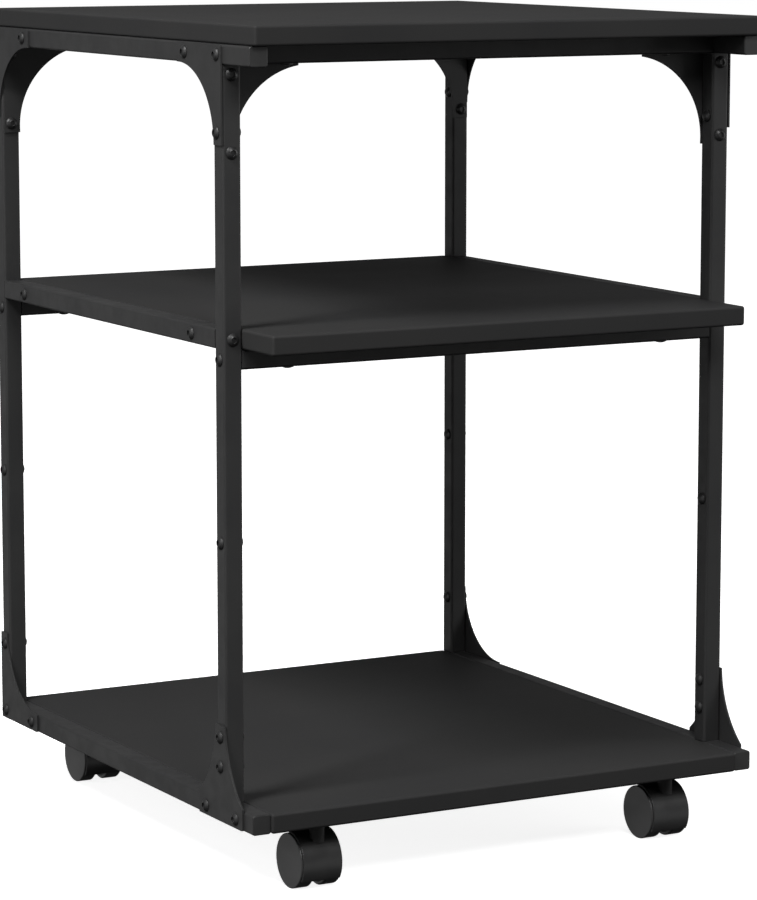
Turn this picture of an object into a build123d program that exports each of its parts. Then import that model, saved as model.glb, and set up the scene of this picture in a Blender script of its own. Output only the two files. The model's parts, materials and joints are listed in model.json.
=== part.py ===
from build123d import *
import os
from math import cos, radians, sin

# Mobile printer stand: three boards on a bolted frame of square steel tube, on four twin-wheel casters.
# Millimetres, +Z up, X to the right, front at -Y. The origin is on the floor, under the middle of the
# stand's box.

# Driving dimensions
frame_width = 440.0          # over the outer faces of the legs
height = 645.0               # floor to the top of the top board
tube = 15.0                  # square tube, outside
tube_wall = 1.2
tube_corner = 2.0            # outside corner radius
board = 15.0                 # board thickness
board_ease = 2.0             # rounded edges of the boards
board_front = -235.0         # front edge of the top and middle boards
leg_front = -186.0           # front face of the front legs
leg_rear = 232.0             # rear face of the rear legs, and rear edge of the boards
rail_front = -229.0          # front ends of the top and bottom side rails, over their caps
bottom_board_front = -231.0
top_board_inset = 1.5        # the top board is this much narrower than the frame, each side
middle_level = 422.5         # top of the middle board
bottom_level = 68.5          # top of the bottom board

# Corner plates
plate = 1.5                  # sheet thickness
plate_margin = 0.5           # set back from the far edge of the rail
side_plate_length = 72.0     # along the rail
side_plate_arc = 58.0        # radius of the hollow edge
side_plate_arm = 12.0        # narrowest width, on the leg
cross_plate_reach = 70.0     # from the outer face of the leg to the tip
cross_plate_arc = 64.5
cross_plate_inset = 1.5      # set back from the leg's outer face
cross_plate_bottom = 544.0
tee_plate_half = 36.0        # half the length of the front bottom plates
tee_plate_top = 127.0
tee_plate_arc = 77.0
tee_arc_level = 130.0        # where the tee's arcs would run into the leg's edges

# Fastener places, measured on the frame
plate_screw_reach = 60.0     # leg's outer end face to the rail screw of a side plate
plate_screw_drop = 49.0      # rail to the leg screw of a side plate
tee_screw_spread = 24.5      # leg centre to each rail screw of a tee plate
tee_screw_levels = (95.5, 118.0)
cross_bolt_levels = (551.5, 608.0)
cross_screw_x = 187.0        # hidden screw of a cross plate into the cross rail
board_screw_x = 164.0        # screws up through the cross rails
edge_screw_setback = 39.5    # middle side rail screws, from the legs' inner faces
spare_bolt_level = 264.0     # through bolts in the lower bay

# Fasteners
bolt_r = 2.5
bolt_hole_r = 2.7
thread_r = 2.55              # bore of a nut or insert, 0.05 mm clear of the bolt
head_r = 4.9
head_h = 2.8
socket_depth = 1.5
socket_r = 2.4
nut_h = 3.0
nut_r = 4.7
nut_bore_depth = 2.2
rivet_nut_r = 3.5
rivet_nut_length = 10.0
insert_length = 12.0
wood_screw_r = 2.0
wood_screw_bite = 24.0       # length of a wood screw inside a board's edge
board_screw_bite = 10.0      # and inside a board's underside
pilot_margin = 2.0           # a pilot hole is this much deeper than its screw
pilot_underside = 11.0       # depth of the pilot holes in a board's underside
cap_flange = 1.5
cap_plug_length = 3.0

# Casters
caster_x = 155.0
caster_front = -206.2        # swivel axis of the front casters
caster_rear = 182.7
caster_trail = 12.5          # wheel axle behind the swivel axis
wheel_r = 21.0
wheel_width = 12.1
wheel_outer = 17.3           # outer face of a wheel, from the caster's middle plane
disc_edge = 0.8              # rounding of the outer disc's rim
web_half = 4.5               # half the thickness of the hood's middle web
hood_gap = 0.6               # hood clear of the wheels' treads
hood_shell = 1.3
hood_half_width = 16.3
hood_low_angle = -34.0       # front lip, below the axle's level
hood_high_angle = 104.0      # rear lip, just behind the top
axle_r = 2.5
axle_half = 14.0
axle_bore_r = 2.55
kingpin_r = 3.0
kingpin_bore_r = 3.05
boss_r = 5.6
caster_plate = 32.0
caster_plate_t = 1.8
caster_plate_pitch = 23.0
caster_screw_r = 1.6
caster_screw_head_r = 3.4

# Derived places
half_width = frame_width / 2
rail_x = half_width - tube / 2           # centre line of the legs and side rails
inner_x = half_width - tube              # inner faces of the legs and side rails
top_rail_top = height - board
top_rail_bottom = top_rail_top - tube
middle_rail_bottom = middle_level - board - tube
bottom_rail_bottom = bottom_level - tube
top_rail_level = top_rail_top - tube / 2
middle_side_level = middle_level - tube / 2
middle_cross_level = middle_rail_bottom + tube / 2
bottom_rail_level = bottom_level - tube / 2

LEFT, RIGHT = -1, 1
FRONT, REAR = -1, 1
SIDES = {"left": LEFT, "right": RIGHT}
ENDS = {"front": FRONT, "rear": REAR}
CORNERS = {f"{e}_{s}": (SIDES[s], ENDS[e]) for e in ENDS for s in SIDES}
LEG_FACE = {FRONT: leg_front, REAR: leg_rear}                       # outer end faces of the legs
LEG_Y = {FRONT: leg_front + tube / 2, REAR: leg_rear - tube / 2}    # leg centres
INNER_FACE = {FRONT: leg_front + tube, REAR: leg_rear - tube}       # inner faces of the legs
CASTER_Y = {FRONT: caster_front, REAR: caster_rear}

os.makedirs("parts", exist_ok=True)


def save(part, name):
    """Labels a finished piece and writes it as its own STEP file."""
    part.label = name
    export_step(part, f"parts/{name}.step")


def from_end(end, distance):
    """Y at a distance inwards from the legs' outer end face."""
    return LEG_FACE[end] - end * distance


def facing(direction, *points):
    """Planes at the points, looking out along the direction."""
    return [Plane(origin=point, z_dir=direction) for point in points]


def board_screw_points(end, level):
    """The two places of the screws up through a cross rail, at a height."""
    return [(x, LEG_Y[end], level) for x in (-board_screw_x, board_screw_x)]


def edge_screw_point(side, end, x):
    """Place of a middle side rail's screw, on the face at that distance from the middle plane."""
    return (side * x, INNER_FACE[end] - end * edge_screw_setback, middle_side_level)


def bottom_screw_points(side, end, x):
    """Places of the two screws at one end of a bottom side rail, on the face at that distance."""
    return [(side * x, y, bottom_rail_level) for y in bottom_screw_y[end]]


def along_y(x, y, z, direction=-1):
    """Plane across a rail that runs along Y."""
    return Plane((x, y, z), x_dir=(1, 0, 0), z_dir=(0, direction, 0))


def tube_section(hollow=True):
    """Draws the square tube, or only its outside, in the open sketch."""
    RectangleRounded(tube, tube, tube_corner)
    if hollow:
        bore = tube - 2 * tube_wall
        RectangleRounded(bore, bore, tube_corner - tube_wall, mode=Mode.SUBTRACT)


# Boards

with BuildPart() as top_board:
    with BuildSketch(Plane.XY.offset(top_rail_top)):
        with Locations((0, (board_front + leg_rear) / 2)):
            Rectangle(frame_width - 2 * top_board_inset, leg_rear - board_front)
    extrude(amount=board)
    fillet(top_board.edges(), radius=board_ease)
    for end in (FRONT, REAR):
        with Locations(*facing((0, 0, -1), *board_screw_points(end, top_rail_top))):
            Hole(wood_screw_r, depth=pilot_underside)
save(top_board.part, "top_board")

with BuildPart() as middle_board:
    with BuildSketch(Plane.XY.offset(middle_level - board)):
        with Locations((0, (board_front + leg_rear) / 2)):
            Rectangle(2 * inner_x, leg_rear - board_front)
    extrude(amount=board)
    fillet(middle_board.edges(), radius=board_ease)
    for end in (FRONT, REAR):
        with Locations(*facing((0, 0, -1), *board_screw_points(end, middle_level - board))):
            Hole(wood_screw_r, depth=pilot_underside)
        for side in (LEFT, RIGHT):
            with Locations(*facing((side, 0, 0), edge_screw_point(side, end, inner_x))):
                Hole(wood_screw_r, depth=wood_screw_bite + pilot_margin)
save(middle_board.part, "middle_board")

# Y of the screws through each bottom side rail into the board's edge
bottom_screw_y = {FRONT: (LEG_Y[FRONT] - tee_screw_spread, LEG_Y[FRONT] + tee_screw_spread),
                  REAR: (from_end(REAR, plate_screw_reach), LEG_Y[REAR])}

with BuildPart() as bottom_board:
    with BuildSketch(Plane.XY.offset(bottom_rail_bottom)):
        with Locations((0, (bottom_board_front + leg_rear) / 2)):
            Rectangle(2 * inner_x, leg_rear - bottom_board_front)
    extrude(amount=board)
    fillet(bottom_board.edges(), radius=board_ease)
    for side, end in CORNERS.values():
        with Locations(*facing((side, 0, 0), *bottom_screw_points(side, end, inner_x))):
            Hole(wood_screw_r, depth=wood_screw_bite + pilot_margin)
        plate_centre = Plane((side * caster_x, CASTER_Y[end], bottom_rail_bottom), z_dir=(0, 0, -1))
        with Locations(plate_centre):
            with GridLocations(caster_plate_pitch, caster_plate_pitch, 2, 2):
                Hole(caster_screw_r, depth=pilot_underside)
save(bottom_board.part, "bottom_board")


# Legs and rails

def side_screw_levels(end):
    """Heights of the bolts through a leg's side faces."""
    if end == FRONT:
        bottom_levels = list(tee_screw_levels)
    else:
        bottom_levels = [bottom_level + plate_screw_drop]
    return [top_rail_bottom - plate_screw_drop, middle_cross_level, spare_bolt_level] + bottom_levels


for corner, (side, end) in CORNERS.items():
    with BuildPart() as leg:
        with BuildSketch(Plane((side * rail_x, LEG_Y[end], bottom_level))):
            tube_section()
        extrude(amount=top_rail_bottom - bottom_level)
        side_holes = [(side * half_width, LEG_Y[end], z) for z in side_screw_levels(end)]
        with Locations(*facing((side, 0, 0), *side_holes)):
            Hole(bolt_hole_r, depth=tube)
        end_levels = (*cross_bolt_levels, middle_side_level)
        with Locations(*facing((0, end, 0), *[(side * rail_x, LEG_FACE[end], z) for z in end_levels])):
            Hole(bolt_hole_r, depth=tube)
    save(leg.part, f"leg_{corner}")

for side_name, side in SIDES.items():
    with BuildPart() as top_side_rail:
        with BuildSketch(along_y(side * rail_x, leg_rear - cap_flange, top_rail_level)):
            tube_section()
        extrude(amount=leg_rear - rail_front - 2 * cap_flange)
        for end in (FRONT, REAR):
            bolt_point = (side * half_width, LEG_Y[end], top_rail_level)
            with Locations(*facing((side, 0, 0), bolt_point)):
                Hole(bolt_hole_r, depth=tube)
        rivet_points = [(side * half_width, from_end(end, plate_screw_reach), top_rail_level)
                        for end in (FRONT, REAR)]
        with Locations(*facing((side, 0, 0), *rivet_points)):
            Hole(rivet_nut_r, depth=tube / 2)
    save(top_side_rail.part, f"top_side_rail_{side_name}")

    with BuildPart() as middle_side_rail:
        with BuildSketch(along_y(side * rail_x, INNER_FACE[REAR], middle_side_level)):
            tube_section()
        extrude(amount=INNER_FACE[REAR] - INNER_FACE[FRONT])
        for end in (FRONT, REAR):
            with Locations(*facing((side, 0, 0), edge_screw_point(side, end, half_width))):
                Hole(bolt_hole_r, depth=tube)
    save(middle_side_rail.part, f"middle_side_rail_{side_name}")

    with BuildPart() as bottom_side_rail:
        with BuildSketch(along_y(side * rail_x, leg_rear - cap_flange, bottom_rail_level)):
            tube_section()
        extrude(amount=leg_rear - rail_front - 2 * cap_flange)
        for end in (FRONT, REAR):
            with Locations(*facing((side, 0, 0), *bottom_screw_points(side, end, half_width))):
                Hole(bolt_hole_r, depth=tube)
    save(bottom_side_rail.part, f"bottom_side_rail_{side_name}")

for end_name, end in ENDS.items():
    for level_name, level in (("top", top_rail_level), ("middle", middle_cross_level)):
        with BuildPart() as cross_rail:
            with BuildSketch(Plane((-inner_x, LEG_Y[end], level), x_dir=(0, 1, 0), z_dir=(1, 0, 0))):
                tube_section()
            extrude(amount=2 * inner_x)
            with Locations(*facing((0, 0, -1), *board_screw_points(end, level - tube / 2))):
                Hole(bolt_hole_r, depth=tube)
            if level_name == "top":
                rivet_points = [(x, INNER_FACE[end], level) for x in (-cross_screw_x, cross_screw_x)]
                with Locations(*facing((0, -end, 0), *rivet_points)):
                    Hole(rivet_nut_r, depth=tube / 2)
        save(cross_rail.part, f"{level_name}_cross_rail_{end_name}")

plug = tube - 2 * tube_wall - 0.1        # side of the square plugs in the tubes' ends
plug_corner = 1.0


def rail_cap():
    """Plastic cap with a square plug; the tube's end is z = 0."""
    with BuildPart() as cap:
        with BuildSketch():
            tube_section(hollow=False)
        extrude(amount=cap_flange)
        fillet(cap.faces().sort_by(Axis.Z)[-1].edges(), radius=0.8)
        with BuildSketch(Plane.XY):
            RectangleRounded(plug, plug, plug_corner)
        extrude(amount=-cap_plug_length)
    return cap.part


with BuildPart() as rail_end_caps:
    for side in (LEFT, RIGHT):
        for level in (top_rail_level, bottom_rail_level):
            for tube_end, direction in ((rail_front + cap_flange, -1), (leg_rear - cap_flange, 1)):
                with Locations(along_y(side * rail_x, tube_end, level, direction)):
                    add(rail_cap())
save(rail_end_caps.part, "rail_end_caps")


# Corner plates

for corner, (side, end) in CORNERS.items():
    side_face = Plane.YZ.offset(side * half_width)
    middle_y = from_end(end, side_plate_length / 2)
    arc_y = from_end(end, side_plate_arm + side_plate_arc)
    screw_y = (LEG_Y[end], from_end(end, plate_screw_reach))

    with BuildPart() as top_side_plate:
        low, high = top_rail_bottom - side_plate_arc, top_rail_top - plate_margin
        with BuildSketch(side_face):
            with Locations((middle_y, (low + high) / 2)):
                Rectangle(side_plate_length, high - low)
            with Locations((arc_y, low)):
                Circle(side_plate_arc, mode=Mode.SUBTRACT)
        extrude(amount=side * plate)
        fillet(top_side_plate.edges().filter_by(Axis.X).group_by(Axis.Z)[-1], radius=1.5)
        holes = [(side * (half_width + plate), y, top_rail_level) for y in screw_y]
        holes.append((side * (half_width + plate), LEG_Y[end], top_rail_bottom - plate_screw_drop))
        with Locations(*facing((side, 0, 0), *holes)):
            Hole(bolt_hole_r, depth=plate)
    save(top_side_plate.part, f"top_side_plate_{corner}")

    with BuildPart() as top_cross_plate:
        low, high = cross_plate_bottom, top_rail_top - plate_margin
        tip_x = half_width - cross_plate_reach
        outer_x = half_width - cross_plate_inset
        with BuildSketch(Plane.XZ.offset(-INNER_FACE[end])):
            with Locations((side * (tip_x + outer_x) / 2, (low + high) / 2)):
                Rectangle(outer_x - tip_x, high - low)
            with Locations((side * rail_x, (top_rail_bottom + high) / 2)):
                Rectangle(tube, high - top_rail_bottom, mode=Mode.SUBTRACT)
            with Locations((side * (inner_x - cross_plate_arc), low + 5)):
                Circle(cross_plate_arc, mode=Mode.SUBTRACT)
        extrude(amount=end * plate)
        holes = [(side * rail_x, INNER_FACE[end] - end * plate, z) for z in cross_bolt_levels]
        holes.append((side * cross_screw_x, INNER_FACE[end] - end * plate, top_rail_level))
        with Locations(*facing((0, -end, 0), *holes)):
            Hole(bolt_hole_r, depth=plate)
    save(top_cross_plate.part, f"top_cross_plate_{corner}")

    with BuildPart() as bottom_side_plate:
        low = bottom_rail_bottom + plate_margin
        if end == FRONT:
            high = tee_plate_top
            with BuildSketch(side_face):
                with Locations((LEG_Y[FRONT], (low + high) / 2)):
                    Rectangle(2 * tee_plate_half, high - low)
                for arc_side in (-1, 1):
                    arc_centre = LEG_Y[FRONT] + arc_side * (tube / 2 + tee_plate_arc)
                    with Locations((arc_centre, tee_arc_level)):
                        Circle(tee_plate_arc, mode=Mode.SUBTRACT)
            holes = [(side * (half_width + plate), LEG_Y[FRONT], z) for z in tee_screw_levels]
        else:
            high = bottom_level + side_plate_arc
            with BuildSketch(side_face):
                with Locations((middle_y, (low + high) / 2)):
                    Rectangle(side_plate_length, high - low)
                with Locations((arc_y, high)):
                    Circle(side_plate_arc, mode=Mode.SUBTRACT)
            holes = [(side * (half_width + plate), LEG_Y[REAR], bottom_level + plate_screw_drop)]
        extrude(amount=side * plate)
        fillet(bottom_side_plate.edges().filter_by(Axis.X).group_by(Axis.Z)[0], radius=1.5)
        holes += bottom_screw_points(side, end, half_width + plate)
        with Locations(*facing((side, 0, 0), *holes)):
            Hole(bolt_hole_r, depth=plate)
    save(bottom_side_plate.part, f"bottom_side_plate_{corner}")


# Fasteners: each is drawn once with its head above z = 0, then set on its seats

def button_screw(length, radius=bolt_r, point=0.6):
    """Domed screw with a hexagon socket."""
    with BuildPart() as screw:
        with BuildSketch(Plane.XZ):
            with BuildLine():
                TangentArc((0, head_h), (head_r, 0.5), tangent=(1, 0))
                Polyline((head_r, 0.5), (head_r, 0), (radius, 0), (radius, -length + point),
                         (radius - point, -length), (0, -length), (0, head_h))
            make_face()
        revolve(axis=Axis.Z)
        with BuildSketch(Plane.XY.offset(head_h - socket_depth)):
            RegularPolygon(radius=socket_r, side_count=6)
        extrude(amount=head_h, mode=Mode.SUBTRACT)
    return screw.part


def washer_head_screw(length, shank_r, wide_r, rise):
    """Low-headed wood screw with a pointed end and a crossed slot."""
    with BuildPart() as screw:
        with BuildSketch(Plane.XZ):
            with BuildLine():
                TangentArc((0, rise), (wide_r, 0.3 * rise), tangent=(1, 0))
                Polyline((wide_r, 0.3 * rise), (wide_r, 0), (shank_r, 0), (shank_r, -length + 3),
                         (0, -length), (0, rise))
            make_face()
        revolve(axis=Axis.Z)
        with BuildSketch(Plane.XY.offset(0.4 * rise)):
            Rectangle(0.9 * wide_r, 0.8)
            Rectangle(0.8, 0.9 * wide_r)
        extrude(amount=rise, mode=Mode.SUBTRACT)
    return screw.part


def cap_nut():
    """Low domed nut, closed at its outer end, seated on z = 0."""
    with BuildPart() as nut:
        with BuildSketch(Plane.XZ):
            with BuildLine():
                TangentArc((0, nut_h), (nut_r, 1), tangent=(1, 0))
                Polyline((nut_r, 1), (nut_r, 0), (thread_r, 0),
                         (thread_r, nut_bore_depth), (0, nut_bore_depth), (0, nut_h))
            make_face()
        revolve(axis=Axis.Z)
    return nut.part


def rivet_nut():
    """Threaded sleeve in a tube wall, flush with the face at z = 0 and bulged behind the wall."""
    sleeve_r = rivet_nut_r - 0.05
    bulge_top = -tube_wall - 0.02
    with BuildPart() as sleeve:
        with BuildSketch(Plane.XZ):
            with BuildLine():
                Polyline((thread_r, 0), (sleeve_r, 0), (sleeve_r, bulge_top),
                         (rivet_nut_r + 1, bulge_top), (sleeve_r, bulge_top - 3),
                         (sleeve_r, -rivet_nut_length), (thread_r, -rivet_nut_length), (thread_r, 0))
            make_face()
        revolve(axis=Axis.Z)
    return sleeve.part


def rail_insert():
    """Square plug in a rail's end with a threaded bore; its outer face is z = 0."""
    with BuildPart() as insert:
        with BuildSketch(Plane.XY):
            RectangleRounded(plug, plug, plug_corner)
            Circle(thread_r, mode=Mode.SUBTRACT)
        extrude(amount=-insert_length)
    return insert.part


through_bolt = button_screw(plate + tube + nut_bore_depth - 0.2)
joint_bolt = button_screw(tube + insert_length - 1)
long_joint_bolt = button_screw(plate + tube + insert_length - 1)
plate_screw = button_screw(plate + rivet_nut_length)
edge_screw = button_screw(tube + wood_screw_bite, wood_screw_r, point=1.9)
plate_edge_screw = button_screw(plate + tube + wood_screw_bite, wood_screw_r, point=1.9)

with BuildPart() as top_plate_screws:
    for side, end in CORNERS.values():
        outer = side * (half_width + plate)
        with Locations(*facing((side, 0, 0), (outer, LEG_Y[end], top_rail_level))):
            add(long_joint_bolt)
        with Locations(*facing((side, 0, 0), (outer, from_end(end, plate_screw_reach), top_rail_level))):
            add(plate_screw)
        with Locations(*facing((side, 0, 0), (outer, LEG_Y[end], top_rail_bottom - plate_screw_drop))):
            add(through_bolt)
save(top_plate_screws.part, "top_plate_screws")

with BuildPart() as cross_plate_bolts:
    for side, end in CORNERS.values():
        head_y = leg_front if end == FRONT else INNER_FACE[REAR] - plate      # every head faces the front
        with Locations(*facing((0, -1, 0), *[(side * rail_x, head_y, z) for z in cross_bolt_levels])):
            add(through_bolt)
        seat_y = INNER_FACE[end] - end * plate
        with Locations(*facing((0, -end, 0), (side * cross_screw_x, seat_y, top_rail_level))):
            add(plate_screw)
save(cross_plate_bolts.part, "cross_plate_bolts")

with BuildPart() as middle_rail_bolts:
    for side, end in CORNERS.values():
        with Locations(*facing((0, end, 0), (side * rail_x, LEG_FACE[end], middle_side_level))):
            add(joint_bolt)
        with Locations(*facing((side, 0, 0), (side * half_width, LEG_Y[end], middle_cross_level))):
            add(joint_bolt)
save(middle_rail_bolts.part, "middle_rail_bolts")

with BuildPart() as middle_edge_screws:
    for side, end in CORNERS.values():
        with Locations(*facing((side, 0, 0), edge_screw_point(side, end, half_width))):
            add(edge_screw)
save(middle_edge_screws.part, "middle_edge_screws")

with BuildPart() as bottom_plate_screws:
    for side, end in CORNERS.values():
        outer = side * (half_width + plate)
        leg_levels = tee_screw_levels if end == FRONT else (bottom_level + plate_screw_drop,)
        with Locations(*facing((side, 0, 0), *[(outer, LEG_Y[end], z) for z in leg_levels])):
            add(through_bolt)
        with Locations(*facing((side, 0, 0), *bottom_screw_points(side, end, half_width + plate))):
            add(plate_edge_screw)
save(bottom_plate_screws.part, "bottom_plate_screws")

spare_bolt = button_screw(tube + nut_bore_depth - 0.2)
with BuildPart() as lower_leg_bolts:
    for side, end in CORNERS.values():
        with Locations(*facing((side, 0, 0), (side * half_width, LEG_Y[end], spare_bolt_level))):
            add(spare_bolt)
save(lower_leg_bolts.part, "lower_leg_bolts")

with BuildPart() as leg_cap_nuts:
    for side, end in CORNERS.values():
        levels = [z for z in side_screw_levels(end) if z != middle_cross_level]
        with Locations(*facing((-side, 0, 0), *[(side * inner_x, LEG_Y[end], z) for z in levels])):
            add(cap_nut())
        nut_y = INNER_FACE[FRONT] + plate if end == FRONT else leg_rear
        with Locations(*facing((0, 1, 0), *[(side * rail_x, nut_y, z) for z in cross_bolt_levels])):
            add(cap_nut())
save(leg_cap_nuts.part, "leg_cap_nuts")

with BuildPart() as rivet_nuts:
    for side, end in CORNERS.values():
        nut_y = from_end(end, plate_screw_reach)
        with Locations(*facing((side, 0, 0), (side * half_width, nut_y, top_rail_level))):
            add(rivet_nut())
        with Locations(*facing((0, -end, 0), (side * cross_screw_x, INNER_FACE[end], top_rail_level))):
            add(rivet_nut())
save(rivet_nuts.part, "rivet_nuts")

with BuildPart() as rail_inserts:
    for side, end in CORNERS.values():
        for level in (top_rail_level, middle_cross_level):
            rail_end = Plane((side * inner_x, LEG_Y[end], level), x_dir=(0, 1, 0), z_dir=(side, 0, 0))
            with Locations(rail_end):
                add(rail_insert())
        with Locations(along_y(side * rail_x, INNER_FACE[end], middle_side_level, end)):
            add(rail_insert())
save(rail_inserts.part, "rail_inserts")

with BuildPart() as board_screws:
    for bottom in (top_rail_bottom, middle_rail_bottom):
        for end in (FRONT, REAR):
            with Locations(*facing((0, 0, -1), *board_screw_points(end, bottom))):
                add(washer_head_screw(tube + board_screw_bite, wood_screw_r, head_r, 1.8))
save(board_screws.part, "board_screws")

plate_bottom = bottom_rail_bottom - caster_plate_t
with BuildPart() as caster_plate_screws:
    for side, end in CORNERS.values():
        with Locations(Plane((side * caster_x, CASTER_Y[end], plate_bottom), z_dir=(0, 0, -1))):
            with GridLocations(caster_plate_pitch, caster_plate_pitch, 2, 2):
                add(washer_head_screw(caster_plate_t + board_screw_bite, caster_screw_r - 0.05,
                                      caster_screw_head_r, 1.2))
save(caster_plate_screws.part, "caster_plate_screws")


# Casters

race_drop = 0.8                                  # raised ring under the plate, around the king pin
boss_top = plate_bottom - race_drop - 0.3
kingpin_low = 29.0
boss_depth = 14.0

with BuildPart() as caster_plates:
    for side, end in CORNERS.values():
        with BuildSketch(Plane((side * caster_x, CASTER_Y[end], plate_bottom))):
            RectangleRounded(caster_plate, caster_plate, 5)
            with GridLocations(caster_plate_pitch, caster_plate_pitch, 2, 2):
                Circle(caster_screw_r + 0.3, mode=Mode.SUBTRACT)
            Circle(kingpin_r, mode=Mode.SUBTRACT)
        extrude(amount=caster_plate_t)
        with BuildSketch(Plane((side * caster_x, CASTER_Y[end], plate_bottom))):
            Circle(10)
            Circle(kingpin_r, mode=Mode.SUBTRACT)
        extrude(amount=-race_drop)
save(caster_plates.part, "caster_plates")

with BuildPart() as caster_kingpins:
    for side, end in CORNERS.values():
        with BuildSketch(Plane((side * caster_x, CASTER_Y[end], bottom_rail_bottom))):
            Circle(kingpin_r)
        extrude(amount=kingpin_low - bottom_rail_bottom)
save(caster_kingpins.part, "caster_kingpins")

hood_inner = wheel_r + hood_gap
hood_outer = hood_inner + hood_shell


def rim_point(radius, angle):
    """Point on a circle round the axle, seen from the right; angle 0 is the front, 90 the top."""
    return (caster_trail - radius * cos(radians(angle)), wheel_r + radius * sin(radians(angle)))


def caster_hood():
    """Hood with its middle web and swivel boss; the swivel axis stands at the origin, on the floor."""
    middle_angle = (hood_low_angle + hood_high_angle) / 2
    web_rim = hood_inner + 0.5
    with BuildPart() as hood:
        with BuildSketch(Plane.YZ):
            with BuildLine():
                ThreePointArc(rim_point(hood_outer, hood_low_angle), rim_point(hood_outer, middle_angle),
                              rim_point(hood_outer, hood_high_angle))
                Line(rim_point(hood_outer, hood_high_angle), rim_point(hood_inner, hood_high_angle))
                ThreePointArc(rim_point(hood_inner, hood_high_angle), rim_point(hood_inner, middle_angle),
                              rim_point(hood_inner, hood_low_angle))
                Line(rim_point(hood_inner, hood_low_angle), rim_point(hood_outer, hood_low_angle))
            make_face()
        extrude(amount=hood_half_width, both=True)
        rims = hood.edges().filter_by(GeomType.CIRCLE).group_by(SortBy.RADIUS)[-1]
        fillet(rims, radius=0.6)
        with BuildSketch(Plane.XY.offset(boss_top)):
            Circle(boss_r)
        extrude(amount=-boss_depth)
        with BuildSketch(Plane.YZ):
            with Locations((caster_trail, wheel_r)):
                Circle(hood_inner)
        extrude(amount=hood_half_width, both=True, mode=Mode.SUBTRACT)
        with BuildSketch(Plane.YZ):
            with BuildLine():
                ThreePointArc(rim_point(web_rim, 0), rim_point(web_rim, hood_high_angle / 2),
                              rim_point(web_rim, hood_high_angle))
                Polyline(rim_point(web_rim, hood_high_angle), rim_point(6, hood_high_angle),
                         rim_point(6, -60), rim_point(web_rim, 0))
            make_face()
            with Locations((caster_trail, wheel_r)):
                Circle(6.5)
        extrude(amount=web_half, both=True)
        with Locations((0, 0, boss_top)):
            Hole(kingpin_bore_r, depth=boss_top - kingpin_low + 0.5)
        with Locations(*facing((1, 0, 0), (web_half, caster_trail, wheel_r))):
            Hole(axle_r, depth=2 * web_half)
    return hood.part


def caster_wheel():
    """Solid wheel with a blind axle bore; its outer face looks along +Z, the caster's middle is z = 0."""
    inner_face = wheel_outer - wheel_width
    with BuildPart() as wheel:
        with BuildSketch(Plane.XZ):
            with BuildLine():
                Polyline((axle_bore_r, inner_face), (6, inner_face), (7, inner_face + 1),
                         (wheel_r - 3.5, inner_face + 1), (wheel_r - 2.5, inner_face),
                         (wheel_r - 1, inner_face), (wheel_r, inner_face + 1),
                         (wheel_r, wheel_outer - disc_edge))
                RadiusArc((wheel_r, wheel_outer - disc_edge), (wheel_r - disc_edge, wheel_outer),
                          -disc_edge)
                Polyline((wheel_r - disc_edge, wheel_outer), (0, wheel_outer), (0, axle_half + 0.4),
                         (axle_bore_r, axle_half + 0.4), (axle_bore_r, inner_face))
            make_face()
        revolve(axis=Axis.Z)
    return wheel.part


for corner, (side, end) in CORNERS.items():
    x, swivel_y = side * caster_x, CASTER_Y[end]
    axle_y = swivel_y + caster_trail

    with BuildPart() as hood:
        with Locations((x, swivel_y, 0)):
            add(caster_hood())
    save(hood.part, f"caster_hood_{corner}")

    with BuildPart() as axle:
        with BuildSketch(Plane.YZ.offset(x)):
            with Locations((axle_y, wheel_r)):
                Circle(axle_r)
        extrude(amount=axle_half, both=True)
        chamfer(axle.edges().filter_by(GeomType.CIRCLE), length=0.4)
    save(axle.part, f"caster_axle_{corner}")

    for wheel_name, wheel_side in SIDES.items():
        with BuildPart() as wheel:
            with Locations(Plane((x, axle_y, wheel_r), z_dir=(wheel_side, 0, 0))):
                add(caster_wheel())
        save(wheel.part, f"caster_wheel_{corner}_{wheel_name}")
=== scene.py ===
"""Looks of the mobile printer stand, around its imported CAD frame. Metres; X right, front at -Y, Z up."""
import json
import math

import bpy
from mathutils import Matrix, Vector


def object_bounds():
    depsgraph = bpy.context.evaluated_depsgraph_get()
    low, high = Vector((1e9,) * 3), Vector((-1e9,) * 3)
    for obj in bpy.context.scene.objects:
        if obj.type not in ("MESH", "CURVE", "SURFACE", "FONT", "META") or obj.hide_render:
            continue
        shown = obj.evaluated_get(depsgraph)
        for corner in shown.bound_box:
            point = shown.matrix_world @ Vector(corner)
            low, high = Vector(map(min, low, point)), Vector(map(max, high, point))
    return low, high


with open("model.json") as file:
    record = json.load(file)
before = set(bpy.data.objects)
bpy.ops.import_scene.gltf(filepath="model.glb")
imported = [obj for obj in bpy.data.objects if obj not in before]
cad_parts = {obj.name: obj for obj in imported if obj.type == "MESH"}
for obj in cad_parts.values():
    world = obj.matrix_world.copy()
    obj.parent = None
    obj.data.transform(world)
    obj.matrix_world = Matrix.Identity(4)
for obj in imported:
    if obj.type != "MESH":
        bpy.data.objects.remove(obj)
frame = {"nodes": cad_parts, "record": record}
cad_low, cad_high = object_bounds()
nodes = frame["nodes"]
MM = 0.001
CROWN_SHADE_LOW, CROWN_SHADE_HIGH = 34 * MM, 36.5 * MM      # above the floor, where painted shade starts on a caster hood's top and neck

# Camera: seen from the front left, a little above the top board
CAMERA_PLACE = (-1.4231, -2.6006, 0.7379)
CAMERA_YAW = 28.88            # degrees, from looking along +Y towards +X
CAMERA_PITCH = -8.512
CAMERA_LENS = 148.9           # mm
SENSOR_WIDTH = 36             # mm, along the picture's long side


# Materials

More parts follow.
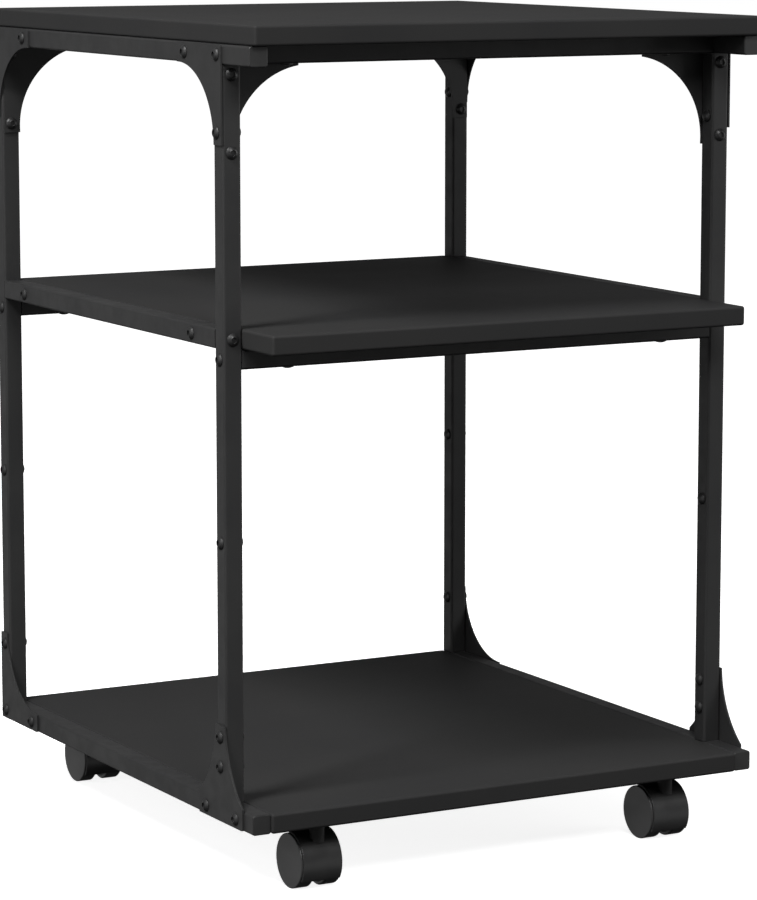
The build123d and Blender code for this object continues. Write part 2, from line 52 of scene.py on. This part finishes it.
class Nodes:
    """Small helper that builds one material's node tree on the object's own coordinates."""

    def __init__(self, name):
        self.material = bpy.data.materials.new(name)
        self.material.use_nodes = True
        self.tree = self.material.node_tree
        self.shader = self.tree.nodes["Principled BSDF"]
        self.place = self.add("ShaderNodeTexCoord").outputs["Object"]

    def add(self, kind, **settings):
        node = self.tree.nodes.new(kind)
        for key, value in settings.items():
            setattr(node, key, value)
        return node

    def link(self, source, target):
        self.tree.links.new(source, target)

    def noise(self, size, detail=2.0, stretch=(1, 1, 1), roughness=0.5):
        """Noise whose features are about `size` metres, stretched along the axes."""
        place = self.place
        if stretch != (1, 1, 1):
            mapping = self.add("ShaderNodeMapping")
            mapping.inputs["Scale"].default_value = [1 / s for s in stretch]
            self.link(place, mapping.inputs["Vector"])
            place = mapping.outputs["Vector"]
        noise = self.add("ShaderNodeTexNoise")
        noise.inputs["Scale"].default_value = 1 / size
        noise.inputs["Detail"].default_value = detail
        noise.inputs["Roughness"].default_value = roughness
        self.link(place, noise.inputs["Vector"])
        return noise.outputs["Fac"]

    def height(self):
        """Height in the object's own coordinates."""
        split = self.add("ShaderNodeSeparateXYZ")
        self.link(self.place, split.inputs["Vector"])
        return split.outputs["Z"]

    def remap(self, value, low, high, to_low, to_high):
        node = self.add("ShaderNodeMapRange", interpolation_type="SMOOTHSTEP")
        for key, number in zip(("From Min", "From Max", "To Min", "To Max"), (low, high, to_low, to_high)):
            node.inputs[key].default_value = number
        self.link(value, node.inputs["Value"])
        return node.outputs["Result"]

    def maths(self, operation, a, b):
        node = self.add("ShaderNodeMath", operation=operation)
        for socket, value in zip(node.inputs, (a, b)):
            if isinstance(value, (int, float)):
                socket.default_value = value
            else:
                self.link(value, socket)
        return node.outputs["Value"]

    def blend(self, factor, a, b):
        """Colour a where the factor is 0, and b where it is 1; each is a colour or a socket."""
        node = self.add("ShaderNodeMix", data_type="RGBA")
        self.link(factor, node.inputs["Factor"])
        for socket, value in ((node.inputs[6], a), (node.inputs[7], b)):
            if isinstance(value, tuple):
                socket.default_value = (*value, 1)
            else:
                self.link(value, socket)
        return node.outputs[2]

    def edges(self, radius):
        """1 along sharp edges, 0 on flats, and the rounded normal itself."""
        bevel = self.add("ShaderNodeBevel", samples=6)
        bevel.inputs["Radius"].default_value = radius
        flat = self.add("ShaderNodeNewGeometry").outputs["Normal"]
        dot = self.add("ShaderNodeVectorMath", operation="DOT_PRODUCT")
        self.link(bevel.outputs["Normal"], dot.inputs[0])
        self.link(flat, dot.inputs[1])
        return self.remap(dot.outputs["Value"], 0.995, 0.86, 0, 1), bevel.outputs["Normal"]

    def bump(self, height, distance, strength, normal=None):
        node = self.add("ShaderNodeBump")
        node.inputs["Distance"].default_value = distance
        node.inputs["Strength"].default_value = strength
        self.link(height, node.inputs["Height"])
        if normal is not None:
            self.link(normal, node.inputs["Normal"])
        return node.outputs["Normal"]

    def finish(self, colour, roughness, normal, specular=0.5, metallic=0.0):
        for key, value in (("Base Color", colour), ("Roughness", roughness), ("Normal", normal)):
            self.link(value, self.shader.inputs[key])
        self.shader.inputs["Specular IOR Level"].default_value = specular
        self.shader.inputs["Metallic"].default_value = metallic
        return self.material


def laminate():
    """Black melamine on particle board: a fine pearl grain, faint handling marks and rubbed edges."""
    n = Nodes("black_laminate")
    rubbed, rounded = n.edges(0.8 * MM)
    pearl = n.noise(0.45 * MM, 3)
    cloud = n.noise(110 * MM, 3)
    colour = n.blend(n.remap(cloud, 0.3, 0.7, 0, 1), (0.0235, 0.0235, 0.0238), (0.0265, 0.0263, 0.0262))
    specks = n.remap(n.noise(0.9 * MM, 1), 0.70, 0.80, 0, 0.35)
    colour = n.blend(specks, colour, (0.05, 0.05, 0.05))
    wear = n.maths("MULTIPLY", rubbed, n.remap(n.noise(9 * MM, 5), 0.55, 0.75, 0, 0.4))
    colour = n.blend(wear, colour, (0.07, 0.066, 0.06))
    rough = n.remap(cloud, 0.3, 0.7, 0.58, 0.63)
    rough = n.maths("ADD", rough, n.remap(pearl, 0.3, 0.7, -0.03, 0.03))
    normal = n.bump(pearl, 0.02 * MM, 0.3, rounded)
    return n.finish(colour, rough, normal, specular=0.06)


def powder_coat():
    """Satin black powder coat on steel: orange peel, a few thin spots along the edges."""
    n = Nodes("black_powder_coat")
    rubbed, rounded = n.edges(0.35 * MM)
    peel = n.noise(1.1 * MM, 2)
    grit = n.noise(0.3 * MM, 2)
    cloud = n.noise(60 * MM, 4)
    colour = n.blend(n.remap(cloud, 0.35, 0.65, 0, 1), (0.019, 0.019, 0.0194), (0.0228, 0.0228, 0.0228))
    wear = n.maths("MULTIPLY", rubbed, n.remap(n.noise(6 * MM, 5), 0.55, 0.75, 0, 0.45))
    colour = n.blend(wear, colour, (0.085, 0.083, 0.08))
    rough = n.remap(n.noise(14 * MM, 4), 0.3, 0.7, 0.46, 0.55)
    height = n.maths("ADD", peel, n.maths("MULTIPLY", grit, 0.35))
    normal = n.bump(height, 0.04 * MM, 0.3, rounded)
    return n.finish(colour, rough, normal, specular=0.27)


def black_oxide():
    """Oiled black oxide on steel screws, rubbed brighter on the socket's rim."""
    n = Nodes("black_oxide")
    rubbed, rounded = n.edges(0.25 * MM)
    grain = n.noise(0.6 * MM, 3)
    wear = n.maths("MULTIPLY", rubbed, n.remap(n.noise(2 * MM, 4), 0.5, 0.7, 0, 0.5))
    colour = n.blend(n.remap(grain, 0.3, 0.7, 0, 1), (0.010, 0.010, 0.0105), (0.016, 0.016, 0.016))
    colour = n.blend(wear, colour, (0.09, 0.086, 0.083))
    rough = n.remap(n.noise(3 * MM, 3), 0.3, 0.7, 0.36, 0.44)
    return n.finish(colour, rough, n.bump(grain, 0.02 * MM, 0.3, rounded), specular=0.4)


def zinc():
    """Bright zinc plating, clouded, with drawn lines."""
    n = Nodes("zinc_plate")
    rubbed, rounded = n.edges(0.3 * MM)
    lines = n.noise(0.5 * MM, 2, stretch=(8, 1, 1))
    cloud = n.noise(4 * MM, 4)
    colour = n.blend(n.remap(cloud, 0.3, 0.7, 0, 1), (0.42, 0.43, 0.45), (0.60, 0.60, 0.60))
    rough = n.remap(cloud, 0.3, 0.7, 0.26, 0.42)
    return n.finish(colour, rough, n.bump(lines, 0.02 * MM, 0.3, rounded), metallic=1.0)


def moulded(name, colour_low, colour_high, rough_low, rough_high, grain_size, grain_strength, specular,
            painted_crown_shade=False):
    """Moulded plastic: flow clouds, spark-eroded grain and fine scuffs. On a caster hood, the top and neck
    under the board get a darker colour, painted shade for the board's shadow and dark reflection, and a
    duller finish."""
    n = Nodes(name)
    rubbed, rounded = n.edges(0.4 * MM)
    grain = n.noise(grain_size, 2)
    flow = n.noise(16 * MM, 3, stretch=(1, 2.5, 1))
    scuffs = n.noise(1.2 * MM, 4, stretch=(6, 1, 1), roughness=0.7)
    colour = n.blend(n.remap(flow, 0.3, 0.7, 0, 1), colour_low, colour_high)
    wear = n.maths("MULTIPLY", rubbed, n.remap(n.noise(3 * MM, 4), 0.5, 0.7, 0, 0.4))
    colour = n.blend(wear, colour, (0.07, 0.07, 0.07))
    rough = n.remap(flow, 0.3, 0.7, rough_low, rough_high)
    rough = n.maths("ADD", rough, n.remap(scuffs, 0.62, 0.8, 0, 0.12))
    # Painted shade: the hood's top and neck are darkened to stand for the board's shadow and dark
    # reflection; the added roughness makes them duller.
    if painted_crown_shade:
        crown_shade = n.remap(n.height(), CROWN_SHADE_LOW, CROWN_SHADE_HIGH, 0, 1)
        colour = n.blend(crown_shade, colour, (0.009, 0.009, 0.009))
        rough = n.maths("ADD", rough, n.maths("MULTIPLY", crown_shade, 0.35))
    return n.finish(colour, rough, n.bump(grain, 0.03 * MM, grain_strength, rounded), specular=specular)


FINISHES = {
    "board": laminate(),
    "frame": powder_coat(),
    "screw": black_oxide(),
    "zinc": zinc(),
    "cap": moulded("cap_plastic", (0.011, 0.011, 0.011), (0.015, 0.015, 0.015),
                   rough_low=0.45, rough_high=0.55, grain_size=0.35 * MM, grain_strength=0.35,
                   specular=0.45),
    "caster_hood": moulded("hood_nylon", (0.031, 0.031, 0.0313), (0.036, 0.036, 0.036),
                           rough_low=0.30, rough_high=0.36, grain_size=1.4 * MM, grain_strength=0.05,
                           specular=0.4, painted_crown_shade=True),
    "wheel": moulded("wheel_nylon", (0.048, 0.048, 0.0484), (0.055, 0.055, 0.055),
                     rough_low=0.36, rough_high=0.44, grain_size=0.5 * MM, grain_strength=0.12,
                     specular=0.5),
}
FINISHES["corner_plate"] = FINISHES["frame"]
FINISHES["caster_plate"] = FINISHES["screw"]

for entry in frame["record"]["subparts"]:
    mesh = nodes[entry["node"]].data
    mesh.materials.clear()
    mesh.materials.append(FINISHES[entry["material_slot"]])


# Studio

SKY = 0.36                    # strength of the light from overhead
GLOSS = 0.6                   # strength of the horizon, as seen in gloss
GLOSS_AWAY = 0.04             # and of the rest of the room
HORIZON_DROP = 0.22           # how far below level the horizon's band is centred, as a direction's Z
BACKDROP = 0.3                # panel above the rear horizon, as seen in gloss
KEY_POWER = 136               # watts
LEFT_POWER = 20
FRONT_POWER = 80
RIGHT_POWER = 34
FLOOR_GLOW = 0.88             # strength of the floor's own light
FLOOR_HALF = 14.0             # metres from the middle to an edge


def floor_material():
    """Pale seamless paper, lit a little from within so that only soft shadows show on it."""
    n = Nodes("floor_paper")
    colour = n.blend(n.remap(n.noise(3.0, 2), 0.3, 0.7, 0, 1), (0.80, 0.80, 0.80), (0.81, 0.81, 0.81))
    fibres = n.noise(2 * MM, 3)
    n.shader.inputs["Emission Color"].default_value = (1, 1, 1, 1)
    n.shader.inputs["Emission Strength"].default_value = FLOOR_GLOW
    rough = n.remap(fibres, 0.3, 0.7, 0.85, 0.95)
    return n.finish(colour, rough, n.bump(fibres, 0.05 * MM, 0.1), specular=0.0)


floor_mesh = bpy.data.meshes.new("floor")
floor_corners = [(FLOOR_HALF * x, FLOOR_HALF * y, 0) for x, y in ((-1, -1), (1, -1), (1, 1), (-1, 1))]
floor_mesh.from_pydata(floor_corners, [], [(0, 1, 2, 3)])
floor = bpy.data.objects.new("floor", floor_mesh)
floor.visible_glossy = False
floor.visible_diffuse = False
bpy.context.scene.collection.objects.link(floor)
floor_mesh.materials.append(floor_material())


def studio_world(sky, gloss, gloss_away, backdrop):
    """White to the eye. It lights the object from above, and shows in gloss as a band along the horizon
    and as a panel above the rear horizon."""
    world = bpy.data.worlds.new("studio")
    bpy.context.scene.world = world
    world.use_nodes = True
    tree = world.node_tree

    def add(kind, **links):
        node = tree.nodes.new(kind)
        for socket, source in links.items():
            tree.links.new(source, node.inputs[socket])
        return node

    def ramp(value, low_at, low, high_at, high):
        """Smooth step: low up to low_at, high from high_at."""
        node = add("ShaderNodeMapRange", Value=value)
        node.interpolation_type = "SMOOTHSTEP"
        for key, number in zip(("From Min", "From Max", "To Min", "To Max"), (low_at, high_at, low, high)):
            node.inputs[key].default_value = number
        return node.outputs["Result"]

    def join(operation, a, b):
        """Sum or product of two sockets."""
        node = add("ShaderNodeMath")
        node.operation = operation
        tree.links.new(a, node.inputs[0])
        tree.links.new(b, node.inputs[1])
        return node.outputs["Value"]

    place = add("ShaderNodeTexCoord").outputs["Generated"]
    direction = add("ShaderNodeSeparateXYZ", Vector=place).outputs
    height = direction["Z"]
    path = add("ShaderNodeLightPath").outputs
    from_above = ramp(height, 0.35, 0.04, 0.75, sky)
    shifted = add("ShaderNodeMath", Value=height)
    shifted.inputs[1].default_value = HORIZON_DROP
    away = add("ShaderNodeMath", Value=shifted.outputs["Value"])
    away.operation = "ABSOLUTE"
    band = ramp(away.outputs["Value"], 0.12, gloss, 0.36, gloss_away)
    rear = ramp(direction["Y"], 0.3, 0, 0.6, backdrop)
    panel = join("MULTIPLY", ramp(height, 0.18, 0, 0.28, 1), ramp(height, 0.55, 1, 0.75, 0))
    mirrored = join("ADD", band, join("MULTIPLY", rear, panel))
    strength = add("ShaderNodeMix", Factor=path["Is Glossy Ray"], A=from_above, B=mirrored).outputs[0]
    lighting = add("ShaderNodeBackground", Strength=strength).outputs["Background"]
    shown = tree.nodes["Background"]
    shown.inputs["Color"].default_value = (1, 1, 1, 1)
    shown.inputs["Strength"].default_value = 1.0
    chosen = add("ShaderNodeMixShader", Fac=path["Is Camera Ray"])
    tree.links.new(lighting, chosen.inputs[1])
    tree.links.new(shown.outputs["Background"], chosen.inputs[2])
    tree.links.new(chosen.outputs["Shader"], tree.nodes["World Output"].inputs["Surface"])


studio_world(SKY, GLOSS, GLOSS_AWAY, BACKDROP)


def softbox(name, place, target, width, height, power):
    """Rectangular area light that looks at the target."""
    lamp = bpy.data.lights.new(name, "AREA")
    lamp.shape = "RECTANGLE"
    lamp.size, lamp.size_y, lamp.energy = width, height, power
    holder = bpy.data.objects.new(name, lamp)
    holder.location = place
    holder.rotation_euler = (Vector(target) - Vector(place)).to_track_quat("-Z", "Y").to_euler()
    bpy.context.scene.collection.objects.link(holder)


middle = (cad_low + cad_high) / 2
softbox("key_box", (-2.2, -0.7, 2.9), middle, 0.9, 0.9, KEY_POWER)
softbox("left_box", (-3.0, -0.6, 1.2), middle, 1.7, 1.7, LEFT_POWER)
softbox("front_box", (-0.6, -3.0, 2.7), middle, 1.1, 1.1, FRONT_POWER)
softbox("right_box", (3.0, -1.6, 1.0), middle, 1.6, 1.6, RIGHT_POWER)

lens = bpy.data.cameras.new("camera")
lens.lens = CAMERA_LENS
lens.sensor_width = SENSOR_WIDTH
camera = bpy.data.objects.new("camera", lens)
camera.location = CAMERA_PLACE
camera.rotation_euler = (math.radians(90 + CAMERA_PITCH), 0, math.radians(-CAMERA_YAW))
bpy.context.scene.collection.objects.link(camera)
bpy.context.scene.camera = camera
bpy.context.scene.view_settings.view_transform = "Standard"
